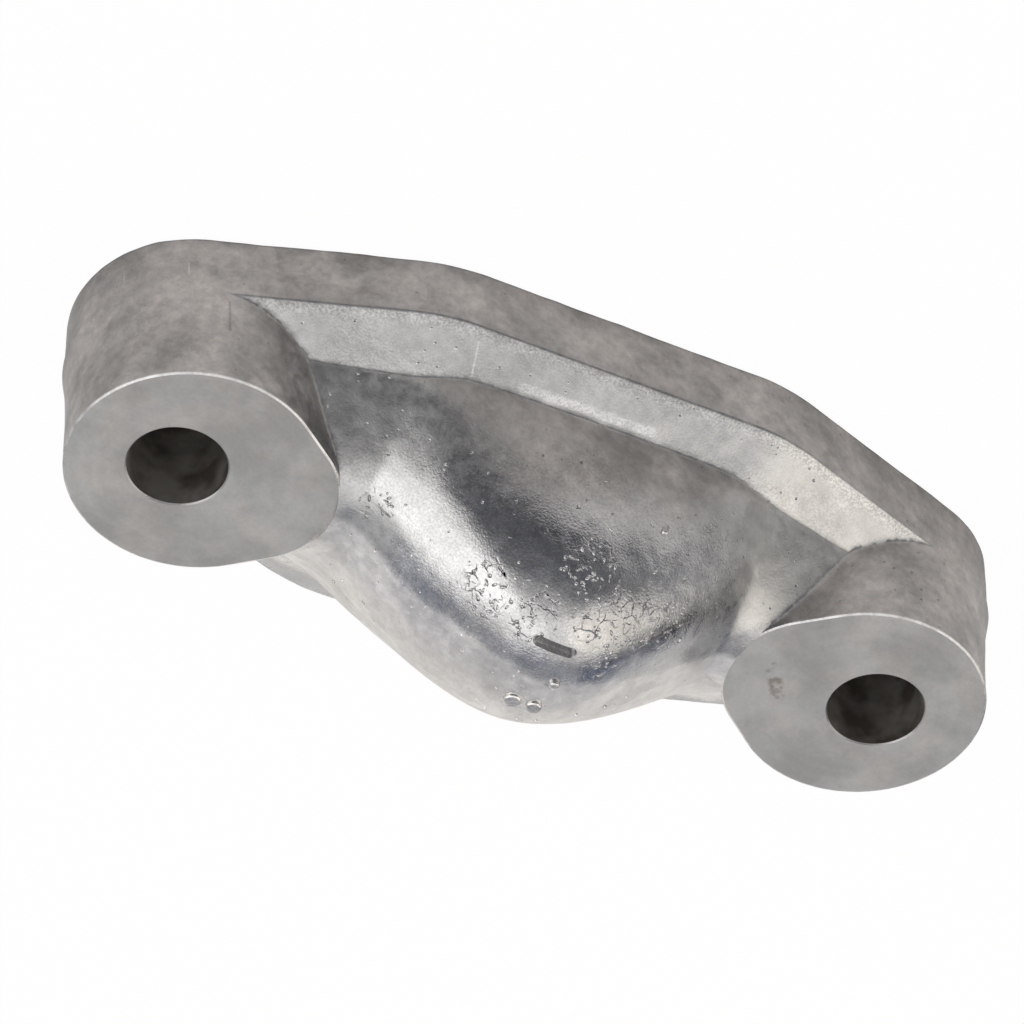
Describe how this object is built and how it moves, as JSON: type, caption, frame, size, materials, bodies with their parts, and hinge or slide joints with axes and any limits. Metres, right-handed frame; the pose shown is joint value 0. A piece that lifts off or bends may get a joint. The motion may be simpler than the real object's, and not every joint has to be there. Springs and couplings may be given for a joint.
{
  "type": "oil pan cover",
  "caption": "Small cast cover with a bolt boss at each end of a lozenge flange and a hollow peaked dome between them, made to close an opening in an oil pan.",
  "frame": {"origin": "middle of the sealing face, halfway between the two bolt holes", "axes": "+X runs from one bolt hole to the other, +Z points away from the sealing face towards the top of the dome"},
  "size_m": [0.071, 0.0284, 0.0227],
  "materials": {
    "cast_aluminium": "as cast, with machined bolt seats"
  },
  "bodies": {
    "root": {"cast_cover": "cast_aluminium"}
  },
  "joints": []
}
